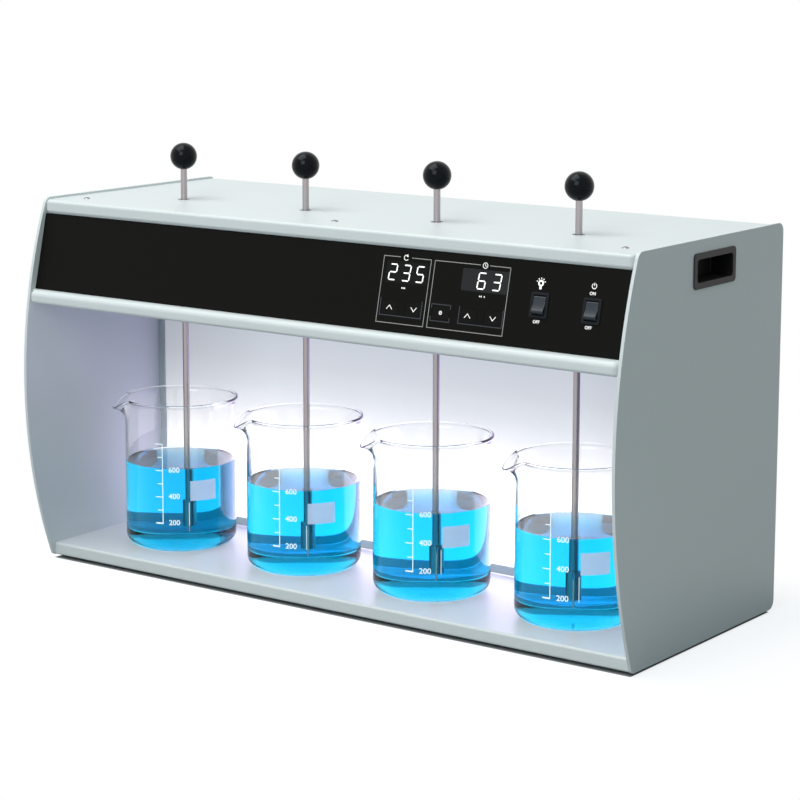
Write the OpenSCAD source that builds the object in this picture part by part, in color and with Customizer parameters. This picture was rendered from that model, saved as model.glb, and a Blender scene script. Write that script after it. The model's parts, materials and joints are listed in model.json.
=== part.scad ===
// Four-place jar tester: a folded sheet cabinet with a lit back, four stirrers driven by
// toothed belts from one geared motor, and four glass beakers standing in the bay.
// X runs along the front, Y to the back, Z up. The origin is on the bench, under the middle.

/* [Cabinet] */
// Overall width over the side plates
unit_w = 645; // [620:1:760]
// Overall depth, from the bowed front edge to the rear edge
unit_d = 275; // [268:1:320]
// Height of the side plates
plate_h = 344; // [336:1:400]
// Thickness of the side plates
plate_t = 3; // [2:0.5:4]
// How far the front edge of a side plate bows forward
bow = 32; // [24:1:36]
// Radius of the side plates' top and rear corners
corner_r = 8; // [4:0.5:14]
// Radius of the side plates' front bottom corner
toe_r = 4.5; // [3:0.5:8]
// Height of the side plates above the bench
foot_gap = 3; // [2:0.5:6]
// How far the side plates stand above the top cover
plate_proud = 2; // [1:0.5:4]
// Thickness of the folded sheet panels
sheet_t = 1.5; // [1:0.1:2]
// Inset of the rear panel from the side plates' rear edges
rear_inset = 3; // [2:0.5:8]

/* [Tray] */
// Height of the tray's front lip
lip_h = 12; // [10:0.5:18]
// Setback of the lip from the side plates' front bottom corner
lip_setback = 2; // [0.5:0.5:6]
// Width of the hem folded back under the lip
hem_w = 10; // [6:0.5:16]
// Diameter of a rubber foot
foot_d = 22; // [16:1:30]
// Distance of the feet from the side plates
foot_inset_x = 38; // [24:1:70]
// Distance of the feet from the lip and the rear edge
foot_inset_y = 30; // [20:1:50]

/* [Head] */
// Height of the head, from its underside to the top cover
head_h = 95; // [92:1:120]
// Height of the rounded rail under the fascia
rail_h = 12.5; // [10:0.5:16]
// Radius of the rail's upper front edge
rail_r = 5.5; // [3:0.5:7]
// Radius of the rail's lower front edge
rail_under_r = 3; // [2:0.5:4.5]
// How far the rail stands in front of the side plates
rail_proud = 1.4; // [0:0.1:3]
// Height of the top cover's front nose
nose_h = 10; // [8:0.5:14]
// Drop of the nose's return, down to the fascia
nose_drop = 3; // [2:0.5:5]
// Radius of the nose's edges
nose_r = 3; // [2:0.25:4]
// Radius at which the ends of the nose and the rail turn back to the side plates
end_r = 5.5; // [4:0.5:7]
// Lean of the fascia, back from upright
fascia_tilt = 13; // [9:0.5:18]
// Thickness of the fascia
fascia_t = 2; // [1.5:0.1:3]
// Setback of the fascia from the side plates' front edge
fascia_recess = 6.5; // [4:0.5:9]

/* [Handles] */
// Length of a recessed handle's flange
grip_l = 70.5; // [66:0.5:80]
// Height of a recessed handle's flange
grip_h = 30; // [26:0.5:36]
// Width of the flange around the pocket
grip_rim = 3.6; // [3:0.1:6]
// Depth of the pocket
grip_depth = 22; // [16:1:30]
// Wall of the pocket
grip_wall = 1.8; // [1.2:0.1:2.4]
// Thickness of the flange on the plate
grip_flange_t = 1.2; // [0.8:0.1:2]
// Drop from the top of the side plate to the middle of the handle
grip_drop = 26; // [22:1:60]

/* [Backlight] */
// Setback of the light frame from the front edge of the cabinet
light_setback = 186; // [182:1:195]
// Width of the frame's upright bars
frame_bar_w = 7; // [5:0.5:14]
// Height of the frame's lower bar
frame_bar_h = 8; // [6:0.5:14]
// Gap between the frame and the tray
frame_gap = 1.5; // [1:0.1:3]
// Thickness of the frame
frame_t = 2; // [1:0.1:3]
// Thickness of the opal diffuser
diffuser_t = 3; // [2:0.5:5]
// Gap between the light box and the power supply behind it
supply_gap = 11; // [6:0.5:20]
// Rows of light-emitting strips
led_rows = 4; // [2:1:6]
// Spacing of the emitters along a strip
led_pitch = 30; // [20:1:60]

/* [Stirrers] */
// Distance between neighbouring stirrers
shaft_pitch = 145; // [138:1:150]
// Setback of the stirrers from the front edge of the cabinet
shaft_setback = 110; // [104:1:116]
// Diameter of a stirring rod
rod_d = 6; // [5:0.1:7]
// Rod showing between the top cover and the knob
rod_showing = 28; // [20:1:40]
// Diameter of the ball knob
knob_d = 25; // [20:0.5:32]
// Depth of the rod's seat in the knob
knob_seat = 15; // [10:0.5:18]
// Length of the paddle
paddle_l = 75; // [60:1:80]
// Height of the paddle
paddle_h = 25; // [20:1:35]
// Thickness of the paddle
paddle_t = 1.5; // [1:0.1:2.5]
// Clearance of the paddle over the beaker's floor
paddle_clear = 16; // [16:0.5:30]
// Angle at which each paddle is shown, from the front
paddle_turn = [-47.5, -51, -54, -58.5]; // [-90:0.5:90]
// Diameter of the paddle's hub
hub_d = 10; // [9:0.5:14]

/* [Beakers] */
// Outside diameter of a beaker
beaker_d = 105; // [100:0.5:112]
// Height of a beaker
beaker_h = 142; // [130:1:160]
// Thickness of the glass wall
glass_t = 2; // [1.8:0.1:3]
// Thickness of the glass floor
floor_t = 3.5; // [2.5:0.1:5]
// Outside radius of the bottom edge
heel_r = 11; // [8:0.5:16]
// How far the rim flares out
rim_flare = 2.5; // [1.5:0.1:3]
// Reach of the pouring spout past the rim
spout_reach = 10; // [6:0.5:12]
// Droop of the spout's tip below the rim
spout_drop = 10.5; // [4:0.5:12]
// Height over which the spout grows out of the wall
spout_h = 24; // [16:1:34]
// Half width of the spout, as an angle
spout_half = 26; // [18:1:32]
// Direction in which the spouts point
spout_dir = 223; // [0:1:359]
// Where each beaker stands along X, from its stirrer's axis
beaker_shift = [-8, -3.5, -4, 1.5]; // [-10:0.5:10]

/* [Drive] */
// Outside diameter of a drive spindle
spindle_d = 10; // [9:0.5:12]
// Clearance on diameter of the rod in its spindle, and of the spindle in its bushes
fit_gap = 0.1; // [0.04:0.01:0.18]
// Height of the drive beam's upper face over the head's underside
beam_rise = 38; // [37:1:42]
// Thickness of the drive beam
beam_t = 2.5; // [2:0.1:4]
// Height of the beam's upturned edges
beam_edge = 14; // [8:1:20]
// Outside diameter of a bearing housing
housing_d = 24; // [22:1:28]
// Height of a bearing housing over the beam
housing_h = 32; // [28:1:34]
// Diameter of a housing's flange
housing_flange_d = 40; // [36:1:44]
// Outside diameter of a bush
bush_d = 14; // [13:0.5:17]
// Length of a bush, without its flange
bush_l = 10; // [6:0.5:14]
// Thickness of a bush's flange
bush_flange_t = 2; // [1.5:0.1:3]
// Teeth on a stirrer's pulley
spindle_teeth = 24; // [20:1:26]
// Teeth on the motor's pulley
motor_teeth = 16; // [14:1:20]
// Tooth pitch of the belts
belt_pitch = 5; // [4.6:0.1:5.2]
// Width of a belt
belt_w = 6; // [4:0.5:6.5]
// Thickness of a belt's back
belt_t = 1.3; // [0.8:0.1:1.5]
// Height of a belt's teeth
tooth_h = 1.1; // [0.8:0.1:1.4]
// Setback of the motor from the stirrers
motor_setback = 58; // [54:1:62]
// Diameter of the motor's gearbox
gearbox_d = 37; // [30:1:42]
// Height of the gearbox
gearbox_h = 21; // [16:1:22]
// Diameter of the motor
motor_d = 35; // [28:1:38]
// Height of the motor
motor_h = 29; // [20:1:30]

/* [Controls] */
// Distance of the speed display and its keys from the right side plate
speed_in = 219; // [218.5:0.5:230]
// Distance of the time display and its keys from the right side plate
time_in = 139.5; // [135.5:0.5:140.5]
// Width of the speed display's window
speed_window_w = 43; // [36:0.5:46]
// Width of the time display's window
time_window_w = 46; // [36:0.5:47]
// Height of both windows
window_h = 19; // [15:0.5:20]
// Middle of the windows up the fascia
window_s = 50.5; // [48:0.5:54]
// Spacing of an up key and a down key
key_pitch = 25; // [21:0.5:26]
// Distance of the set key from the right side plate
set_in = 179; // [176.5:0.5:181.5]
// Width of a key
key_w = 17.5; // [14:0.5:18]
// Height of a key
key_h = 12.5; // [9:0.5:14]
// Middle of the keys up the fascia
key_s = 20.5; // [16:0.5:24]
// Gap round a key
key_gap = 0.2; // [0.1:0.05:0.4]
// Travel of a key
key_travel = 0.5; // [0.3:0.1:0.6]
// Distance of the light switch from the right side plate
light_switch_in = 84; // [77.5:0.5:89.5]
// Distance of the power switch from the right side plate
power_switch_in = 34.3; // [29.5:0.1:43.5]
// Middle of the switches up the fascia
switch_s = 35.5; // [30:0.5:42]
// Width of a switch's bezel
bezel_w = 17; // [15:0.5:20]
// Height of a switch's bezel
bezel_h = 21; // [20:0.5:24]
// Thickness of a switch's bezel
bezel_t = 1; // [0.6:0.1:1.6]
// Width of a rocker
rocker_w = 11.5; // [9:0.5:12.5]
// Radius swept by a rocker's ends
rocker_r = 8.2; // [7:0.1:8.5]
// Tilt of a rocker each side of its middle
rocker_tilt = 11; // [8:0.5:13]
// Depth of a switch behind the fascia
switch_depth = 17; // [14:0.5:22]
// Distance of the control board behind the fascia's face
board_setback = 14; // [12:0.5:18]

/* [Rear] */
// Distance of the mains inlet from the right side plate
inlet_in = 64.5; // [49.5:0.5:119.5]
// Middle of the mains inlet over the bench
inlet_z = 52; // [44:1:90]
// Width of the power supply
supply_w = 110; // [80:1:130]
// Depth of the power supply
supply_d = 30; // [24:1:31]
// Height of the power supply
supply_h = 62; // [40:1:90]
// Distance of the power supply's middle from the right side plate
supply_in = 169.5; // [159.5:0.5:209.5]
// Vent slots in each row of the rear panel
vent_n = 14; // [4:1:18]
// Length of a vent slot
vent_l = 26; // [16:1:34]
// Diameter of a panel screw's head
screw_d = 6.5; // [5:0.1:8]
// Height of a panel screw's head
screw_h = 1.4; // [0.8:0.1:2]

/* [Hidden] */
$fn = 48;

// Colours of the finishes
PAINT = "#d5dbdb";
BLACK = "#1b1b1a";
STEEL = "#a9a6ad";
ALLOY = "#b9bcc0";
BRONZE = "#a98452";
RUBBER = "#262626";
OPAL = "#f2f4f8";

// Side plates: heights and the front arc
plate_bottom = foot_gap;
plate_top = plate_bottom + plate_h;
plate_mid = plate_bottom + plate_h / 2;
y_front = -unit_d / 2;
y_rear = unit_d / 2;
y_chord = y_front + bow;
arc_r = (plate_h * plate_h / 4 + bow * bow) / (2 * bow);
arc_y = y_front + arc_r;
inner_w = unit_w - 2 * plate_t;
function arc_front(z) = arc_y - sqrt(arc_r * arc_r - (z - plate_mid) * (z - plate_mid));

// Tray, head and fascia levels
tray_top = plate_bottom + lip_h;
lip_y = y_chord + lip_setback;
rear_y = y_rear - rear_inset;
cover_top = plate_top - plate_proud;
head_bottom = cover_top - head_h;
rail_top = head_bottom + rail_h;
rail_y = arc_front(head_bottom + rail_h / 2) - rail_proud;
nose_y = arc_front(cover_top - nose_h / 2) - 0.5;
fascia_z = rail_top + fascia_t * sin(fascia_tilt);
fascia_y = arc_front(fascia_z) + fascia_recess;
fascia_top_z = cover_top - nose_h - nose_drop;
fascia_h = (fascia_top_z - fascia_z) / cos(fascia_tilt);
fascia_top_y = fascia_y + fascia_h * sin(fascia_tilt);
cover_flange_h = 14;
cover_ledge = 7;
floor_lip = 6;
floor_lip_y = 9;
floor_upstand = 10;
seam = 0.2;
panel_flange = 12;
panel_notch = 2.7;

// Handles sit in the middle of the plates' flat part
grip_y = (y_chord + y_rear) / 2;
grip_z = plate_top - grip_drop;
grip_corner = 4;
pocket_l = grip_l - 2 * grip_rim;
pocket_h = grip_h - 2 * grip_rim;
pocket_fit = 0.2;

// Backlight and power supply
supply_fit = 0.5;
light_y = y_front + light_setback;
frame_bottom = tray_top + frame_gap;
light_top = head_bottom;
diffuser_y = light_y + frame_t;
diffuser_lap = frame_bar_w / 2;
light_box_y = diffuser_y + diffuser_t;
supply_y = rear_y - sheet_t - supply_fit - supply_d;
light_box_d = supply_y - supply_gap - light_box_y;
light_box_t = 1;
led_board_h = 10;
led_board_t = 1.6;
led_size = 3;

// Stirrers and drive levels
STATIONS = [0, 1, 2, 3];
shaft_y = y_front + shaft_setback;
function shaft_x(i) = (i - 1.5) * shaft_pitch;
knob_z = cover_top + rod_showing + knob_d / 2;
beaker_floor = tray_top + floor_t;
paddle_z = beaker_floor + paddle_clear;
rod_top = knob_z - knob_d / 2 + knob_seat;
beam_z = head_bottom + beam_rise;
beam_under = beam_z - beam_t;
housing_top = beam_z + housing_h;
collar_h = 4;
collar_d = bush_d + 2;
flange_t = 1.5;
track_h = belt_w + 1;
pulley_hub_h = 3;
pulley_top = beam_under - bush_flange_t - 0.3;
upper_track_z = pulley_top - pulley_hub_h - flange_t - track_h;
lower_track_z = upper_track_z - flange_t - track_h;
pulley_bottom = lower_track_z - flange_t;
rim_drop = 0.57;
function pulley_r(teeth) = teeth * belt_pitch / PI / 2 - rim_drop;
spindle_r = pulley_r(spindle_teeth);
motor_r = pulley_r(motor_teeth);
belt_gap = 0.3;
guard = belt_gap + belt_t + 1;
motor_y = shaft_y + motor_setback;
motor_shaft_d = 6;
beam_front = shaft_y - housing_flange_d / 2 - 6;
beam_back = motor_y + gearbox_d / 2 + 6;

// Controls and rear, from the right side plate
speed_x = inner_w / 2 - speed_in;
time_x = inner_w / 2 - time_in;
set_x = inner_w / 2 - set_in;
light_switch_x = inner_w / 2 - light_switch_in;
power_switch_x = inner_w / 2 - power_switch_in;
inlet_x = inner_w / 2 - inlet_in;
supply_x = inner_w / 2 - supply_in;
KEY_X = [speed_x - key_pitch / 2, speed_x + key_pitch / 2,
    time_x - key_pitch / 2, time_x + key_pitch / 2, set_x];
key_cap_t = 1.4;
stem_d = 3;
tact_w = 6;
tact_h = 3.5;
tact_y = board_setback - tact_h;
board_t = 1.6;
board_margin = 8;
board_s = 6;
pillar_d = 5;
pillar_s = board_s + pillar_d + 0.5;
switch_lip = 1.3;
switch_hole_w = bezel_w - 2 * switch_lip;
switch_hole_h = bezel_h - 2 * switch_lip;
rocker_slot_h = 2 * rocker_r + 0.2;
pivot_y = 3;
rocker_face = 1.3;

// Rear
inlet_flange = [46, 28];
inlet_body = [30, 22];
inlet_depth = 24;
vent_w = 3.5;
vent_pitch = 9;
vent_in = 129.5;
vent_rise = 28;
vent_x = inner_w / 2 - vent_in;
vent_z = plate_mid + vent_rise;
vent_row_pitch = vent_l + 14;

// Panel screws
screw_inset = 26;
screw_setback = 30;
screw_x = inner_w / 2 - screw_inset;
screw_y = nose_y + screw_setback;

// ---------- shared shapes ----------

function unit(v) = v / norm(v);
function left_of(v) = [-v[1], v[0]];
function turned(v, a) = [v[0] * cos(a) - v[1] * sin(a), v[0] * sin(a) + v[1] * cos(a)];
function around(a) = [cos(a), sin(a)];
function arc(middle, r, a, b, steps) = [for (k = [0 : steps]) middle + r * around(a + k * (b - a) / steps)];
BEND_STEPS = 6;
ARC_STEPS = 64;
TURN_STEPS = 24;

// Points of one bend of a folded sheet: r is the radius on the drawn face, off the offset
// of the wanted face to the left of the path
function bend(a, p, b, r, off) = let(
    u = unit(p - a),
    v = unit(b - p),
    angle = atan2(u[0] * v[1] - u[1] * v[0], u * v),
    side = angle > 0 ? 1 : -1,
    centre = p - u * r * tan(abs(angle) / 2) + side * r * left_of(u)
) [for (k = [0 : BEND_STEPS])
    centre - side * (r - side * off) * turned(left_of(u), angle * k / BEND_STEPS)];

// One face of a folded sheet, from the path of its drawn face and the radius at each bend
function face(path, radii, off) = let(last = len(path) - 1) concat(
    [path[0] + off * left_of(unit(path[1] - path[0]))],
    [for (i = [1 : last - 1]) each bend(path[i - 1], path[i], path[i + 1], radii[i - 1], off)],
    [path[last] + off * left_of(unit(path[last] - path[last - 1]))]
);
function reversed(list) = [for (i = [len(list) - 1 : -1 : 0]) list[i]];

// Section of a folded sheet, its thickness t lying to the left of the path
module folded(path, radii, t) {
    polygon(concat(face(path, radii, 0), reversed(face(path, radii, t))));
}

// A folded sheet from plate to plate: beside its front face, which lies at y, each end turns
// back in a quarter round
module panel(path, radii, y) {
    middle = y + end_r;
    difference() {
        along_x(inner_w)
            folded(path, radii, sheet_t);
        for (side = [-1, 1])
            translate([side * inner_w / 2 - end_r, y - 1, 0])
                cube([2 * end_r, end_r + 1, plate_top]);
    }
    for (side = [-1, 1])
        translate([side * (inner_w / 2 - end_r), middle, 0])
            rotate(side > 0 ? -90 : 180)
                rotate_extrude(angle = 90)
                    intersection() {
                        translate([middle, 0])
                            mirror([1, 0])
                                folded(path, radii, sheet_t);
                        square([end_r, plate_top]);
                    }
}

// Lays a section drawn in Y and Z along X, w wide about the middle
module along_x(w) {
    rotate([90, 0, 90])
        translate([0, 0, -w / 2])
            linear_extrude(w)
                children();
}

module rounded(w, h, r) {
    square([w - 2 * r, h], center = true);
    square([w, h - 2 * r], center = true);
    for (x = [-1, 1], y = [-1, 1])
        translate([x * (w / 2 - r), y * (h / 2 - r)])
            circle(r);
}

// Fascia frame: X along the front, Y into the head, Z up the leaning face
module on_fascia() {
    translate([0, fascia_y, fascia_z])
        rotate([-fascia_tilt, 0, 0])
            children();
}

// A rounded block on the fascia, its middle at x and s, from depth y0 to y1
module fascia_block(x, s, w, h, y0, y1, r = 0.8) {
    translate([x, y1, s])
        rotate([90, 0, 0])
            linear_extrude(y1 - y0)
                rounded(w, h, r);
}

// ---------- side plates and handles ----------

// Middle of a corner fillet that touches the front arc inside, at the level z
function fillet(z, r) = [arc_y - sqrt((arc_r - r) * (arc_r - r) - (z - plate_mid) * (z - plate_mid)), z];
function heading(v) = (atan2(v[1], v[0]) + 360) % 360;

module plate_outline() {
    middle = [arc_y, plate_mid];
    top = fillet(plate_top - corner_r, corner_r);
    toe = fillet(plate_bottom + toe_r, toe_r);
    top_a = heading(top - middle);
    toe_a = heading(toe - middle);
    polygon(concat(
        arc(toe, toe_r, 270, toe_a, 8),
        [for (k = [1 : ARC_STEPS - 1]) middle + arc_r * around(toe_a + k * (top_a - toe_a) / ARC_STEPS)],
        arc(top, corner_r, top_a, 90, 8),
        arc([y_rear - corner_r, plate_top - corner_r], corner_r, 90, 0, 8),
        arc([y_rear - corner_r, plate_bottom + corner_r], corner_r, 0, -90, 8)
    ));
}

module side_plate(side) {
    color(PAINT)
        translate([side * (unit_w - plate_t) / 2, 0, 0])
            along_x(plate_t)
                difference() {
                    plate_outline();
                    translate([grip_y, grip_z])
                        rounded(pocket_l + 2 * pocket_fit, pocket_h + 2 * pocket_fit, grip_corner);
                }
}

// Moulded pocket with a flange outside the plate, open to the outside
module handle(side) {
    color(BLACK)
        translate([side * unit_w / 2, grip_y, grip_z])
            rotate([90, 0, side * 90])
                difference() {
                    union() {
                        linear_extrude(grip_flange_t)
                            rounded(grip_l, grip_h, grip_corner);
                        translate([0, 0, -grip_depth])
                            linear_extrude(grip_depth + 0.1)
                                rounded(pocket_l, pocket_h, grip_corner);
                    }
                    translate([0, 0, grip_wall - grip_depth])
                        linear_extrude(grip_depth + grip_flange_t)
                            rounded(pocket_l - 2 * grip_wall, pocket_h - 2 * grip_wall,
                                grip_corner - 1);
                }
}

// ---------- folded panels ----------

module top_cover() {
    path = [
        [fascia_top_y + cover_ledge, fascia_top_z + seam],
        [fascia_top_y, fascia_top_z + seam],
        [nose_y, cover_top - nose_h],
        [nose_y, cover_top],
        [rear_y, cover_top],
        [rear_y, cover_top - cover_flange_h]
    ];
    color(PAINT)
        difference() {
            panel(reversed(path), [2.5, nose_r, nose_r, 2], nose_y);
            for (i = STATIONS)
                translate([shaft_x(i), shaft_y, cover_top - 2 * sheet_t])
                    cylinder(d = spindle_d + 1.2, h = 3 * sheet_t);
        }
}

module head_floor() {
    path = [
        [light_y - seam, head_bottom + floor_upstand],
        [light_y - seam, head_bottom],
        [rail_y, head_bottom],
        [rail_y, rail_top],
        [fascia_y + floor_lip_y, rail_top],
        [fascia_y + floor_lip_y + floor_lip * sin(fascia_tilt), rail_top + floor_lip]
    ];
    color(PAINT)
        difference() {
            panel(reversed(path), [2, rail_r, rail_under_r, 2.5], rail_y);
            for (i = STATIONS)
                translate([shaft_x(i), shaft_y, head_bottom - sheet_t])
                    cylinder(d = spindle_d + 3, h = 3 * sheet_t);
        }
}

module fascia_panel() {
    color(BLACK)
        on_fascia()
            difference() {
                translate([-inner_w / 2, 0, 0])
                    cube([inner_w, fascia_t, fascia_h]);
                fascia_block(speed_x, window_s, speed_window_w, window_h, -1, fascia_t + 1);
                fascia_block(time_x, window_s, time_window_w, window_h, -1, fascia_t + 1);
                for (x = KEY_X)
                    fascia_block(x, key_s, key_w, key_h, -1, fascia_t + 1);
                for (x = [light_switch_x, power_switch_x])
                    fascia_block(x, switch_s, switch_hole_w, switch_hole_h, -1, fascia_t + 1);
            }
}

module base_tray() {
    path = [
        [lip_y + hem_w, plate_bottom],
        [lip_y, plate_bottom],
        [lip_y, tray_top],
        [rear_y - sheet_t, tray_top],
        [rear_y - sheet_t, plate_bottom]
    ];
    color(PAINT)
        along_x(inner_w)
            folded(reversed(path), [2, 2.5, 2], sheet_t);
}

module feet() {
    top = tray_top - sheet_t;
    r = foot_d / 2;
    color(RUBBER)
        for (x = [-1, 1], y = [lip_y + foot_inset_y, rear_y - foot_inset_y])
            translate([x * (inner_w / 2 - foot_inset_x), y, 0])
                rotate_extrude()
                    polygon([[3.5, 0], [r - 2.2, 0], [r - 1.4, 0.8], [r, top], [2, top], [2, 5], [3.5, 5]]);
}

module rear_panel() {
    top = cover_top - cover_flange_h - 0.3;
    x = inner_w / 2;
    path = [[-x, rear_y - panel_flange], [-x, rear_y], [x, rear_y], [x, rear_y - panel_flange]];
    color(PAINT)
        difference() {
            translate([0, 0, plate_bottom])
                linear_extrude(top - plate_bottom)
                    folded(reversed(path), [2.5, 2.5], sheet_t);
            translate([inlet_x, rear_y + 1, inlet_z])
                rotate([90, 0, 0])
                    linear_extrude(sheet_t + 2)
                        square([inlet_body[0] + 0.4, inlet_body[1] + 0.4], center = true);
            for (side = [-1, 1])
                translate([side * x - panel_notch, rear_y - panel_flange - 1, plate_bottom - 1])
                    cube([2 * panel_notch, panel_flange + 2, tray_top + 1.3 - plate_bottom]);
            for (side = [-1, 1], row = [0, 1], k = [0 : vent_n - 1])
                translate([side * vent_x + (k - (vent_n - 1) / 2) * vent_pitch, rear_y + 1,
                        vent_z + row * vent_row_pitch])
                    rotate([90, 0, 0])
                        linear_extrude(sheet_t + 2)
                            rounded(vent_w, vent_l, vent_w / 2 - 0.05);
        }
}

module screw_head() {
    difference() {
        cylinder(d1 = screw_d, d2 = screw_d * 0.6, h = screw_h);
        translate([0, 0, screw_h * 0.4])
            cylinder(d = screw_d * 0.35, h = screw_h, $fn = 6);
    }
}

module panel_screws() {
    color(STEEL) {
        for (x = [-screw_x, 0, screw_x]) {
            translate([x, screw_y, cover_top])
                screw_head();
            translate([x, rear_y, cover_top - cover_flange_h / 2])
                rotate([-90, 0, 0])
                    screw_head();
        }
        for (x = [-screw_x, screw_x], z = [plate_bottom + 24, plate_mid, cover_top - 34])
            translate([x, rear_y, z])
                rotate([-90, 0, 0])
                    screw_head();
    }
}

// ---------- backlight ----------

module light_frame() {
    h = light_top - frame_bottom;
    color("#8e9299")
        difference() {
            translate([-inner_w / 2, light_y, frame_bottom])
                cube([inner_w, frame_t, h]);
            translate([frame_bar_w - inner_w / 2, light_y - 1, frame_bottom + frame_bar_h])
                cube([inner_w - 2 * frame_bar_w, frame_t + 2, h - 2 * frame_bar_h]);
        }
}

module diffuser() {
    color(OPAL)
        translate([diffuser_lap - inner_w / 2, diffuser_y, frame_bottom + frame_bar_h / 2])
            cube([inner_w - 2 * diffuser_lap, diffuser_t, light_top - frame_bottom - frame_bar_h]);
}

module light_box() {
    t = light_box_t;
    color("white")
        difference() {
            translate([-inner_w / 2, light_box_y, tray_top])
                cube([inner_w, light_box_d, light_top - tray_top]);
            translate([t - inner_w / 2, light_box_y - 1, tray_top + t])
                cube([inner_w - 2 * t, light_box_d + 1 - t, light_top - tray_top - 2 * t]);
        }
}

module led_strips() {
    l = inner_w - 2 * frame_bar_w - 20;
    n = floor(l / led_pitch);
    back = light_box_y + light_box_d - light_box_t;
    row_pitch = (light_top - tray_top) / led_rows;
    color("ivory")
        for (row = [0 : led_rows - 1]) {
            z = tray_top + (row + 0.5) * row_pitch;
            translate([-l / 2, back - led_board_t, z - led_board_h / 2])
                cube([l, led_board_t, led_board_h]);
            for (k = [0 : n - 1])
                translate([(k - (n - 1) / 2) * led_pitch - led_size / 2,
                        back - led_board_t - 1, z - led_size / 2])
                    cube([led_size, 1.1, led_size]);
        }
}

// ---------- drive ----------

module drive_beam() {
    path = [
        [beam_front, beam_z + beam_edge],
        [beam_front, beam_under],
        [beam_back, beam_under],
        [beam_back, beam_z + beam_edge]
    ];
    color(ALLOY)
        difference() {
            along_x(inner_w)
                folded(path, [3.5, 3.5], beam_t);
            for (i = STATIONS)
                translate([shaft_x(i), shaft_y, beam_under - 1])
                    cylinder(d = housing_d, h = beam_t + 2);
            translate([0, motor_y, beam_under - 1])
                cylinder(d = motor_shaft_d + 6, h = beam_t + 2);
        }
}

// Turned housing: a spigot through the beam, a bolting flange and a seat for a bush at each end
module bearing_housings() {
    color(ALLOY)
        for (i = STATIONS)
            translate([shaft_x(i), shaft_y, 0])
                difference() {
                    rotate_extrude()
                        polygon([
                            [spindle_d / 2 + 0.5, beam_under + bush_l],
                            [bush_d / 2, beam_under + bush_l],
                            [bush_d / 2, beam_under],
                            [housing_d / 2, beam_under],
                            [housing_d / 2, beam_z],
                            [housing_flange_d / 2, beam_z],
                            [housing_flange_d / 2, beam_z + 4],
                            [housing_d / 2, beam_z + 4],
                            [housing_d / 2, housing_top],
                            [bush_d / 2, housing_top],
                            [bush_d / 2, housing_top - bush_l],
                            [spindle_d / 2 + 0.5, housing_top - bush_l]
                        ]);
                    for (k = [0 : 2])
                        rotate([0, 0, 120 * k + 90])
                            translate([(housing_flange_d + housing_d) / 4, 0, beam_z - 1])
                                cylinder(d = 3.4, h = 6, $fn = 24);
                }
}

module bush(z, up) {
    translate([0, 0, z])
        rotate([up ? 0 : 180, 0, 0])
            difference() {
                union() {
                    translate([0, 0, -bush_l])
                        cylinder(d = bush_d, h = bush_l);
                    cylinder(d = bush_d + 4, h = bush_flange_t);
                }
                translate([0, 0, -bush_l - 1])
                    cylinder(d = spindle_d + fit_gap, h = bush_l + bush_flange_t + 2);
            }
}

module spindle_bushes() {
    color(BRONZE)
        for (i = STATIONS)
            translate([shaft_x(i), shaft_y, 0]) {
                bush(housing_top, true);
                bush(beam_under, false);
            }
}

// Hollow spindle: a collar rides on the upper bush, and its slotted top grips the rod
module spindle(i) {
    slot_w = 1;
    slot_l = 8;
    bottom = head_bottom;
    top = cover_top - 0.4;
    collar_z = housing_top + bush_flange_t + 0.1;
    color(STEEL)
        translate([shaft_x(i), shaft_y, 0])
            difference() {
                union() {
                    translate([0, 0, bottom])
                        cylinder(d = spindle_d, h = top - bottom);
                    translate([0, 0, collar_z])
                        cylinder(d = collar_d, h = collar_h);
                }
                translate([0, 0, bottom - 1])
                    cylinder(d = rod_d + fit_gap, h = top - bottom + 2);
                for (a = [0, 90])
                    rotate([0, 0, a])
                        translate([-spindle_d, -slot_w / 2, top - slot_l])
                            cube([2 * spindle_d, slot_w, slot_l + 1]);
            }
}

// Cross-section of a toothed pulley, with round-bottomed grooves at the belt's pitch
module toothed(teeth) {
    r = pulley_r(teeth);
    difference() {
        circle(r);
        for (k = [0 : teeth - 1])
            rotate(360 * k / teeth)
                translate([r, 0])
                    circle(d = belt_pitch * 0.5, $fn = 16);
    }
}

module pulley_disc(r, z) {
    translate([0, 0, z])
        cylinder(r = r, h = flange_t);
}

// Two-track pulley of a stirrer, fixed on its spindle
module pulley(i) {
    color(ALLOY)
        translate([shaft_x(i), shaft_y, 0])
            difference() {
                union() {
                    for (z = [pulley_bottom, upper_track_z - flange_t, upper_track_z + track_h])
                        pulley_disc(spindle_r + guard, z);
                    for (z = [lower_track_z, upper_track_z])
                        translate([0, 0, z])
                            linear_extrude(track_h)
                                toothed(spindle_teeth);
                    translate([0, 0, pulley_top - pulley_hub_h])
                        cylinder(d = bush_d + 4, h = pulley_hub_h);
                }
                translate([0, 0, pulley_bottom - 1])
                    cylinder(d = spindle_d, h = pulley_top - pulley_bottom + 2);
            }
}

// Single-track pulley on the gearbox's output shaft
module motor_pulley() {
    top = beam_z + gearbox_h / 2;
    color(ALLOY)
        translate([0, motor_y, 0]) {
            for (z = [pulley_bottom, lower_track_z + track_h])
                pulley_disc(motor_r + guard, z);
            translate([0, 0, lower_track_z])
                linear_extrude(track_h)
                    toothed(motor_teeth);
            translate([0, 0, pulley_bottom])
                cylinder(d = motor_shaft_d, h = top - pulley_bottom);
        }
}

module gearbox() {
    color(STEEL)
        translate([0, motor_y, beam_z])
            difference() {
                union() {
                    cylinder(d = gearbox_d, h = gearbox_h);
                    translate([0, 0, -beam_t])
                        cylinder(d = motor_shaft_d + 5.6, h = beam_t + 0.1);
                }
                translate([0, 0, -beam_t - 1])
                    cylinder(d = motor_shaft_d + fit_gap, h = gearbox_h / 2 + beam_t + 1.5);
            }
}

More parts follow.
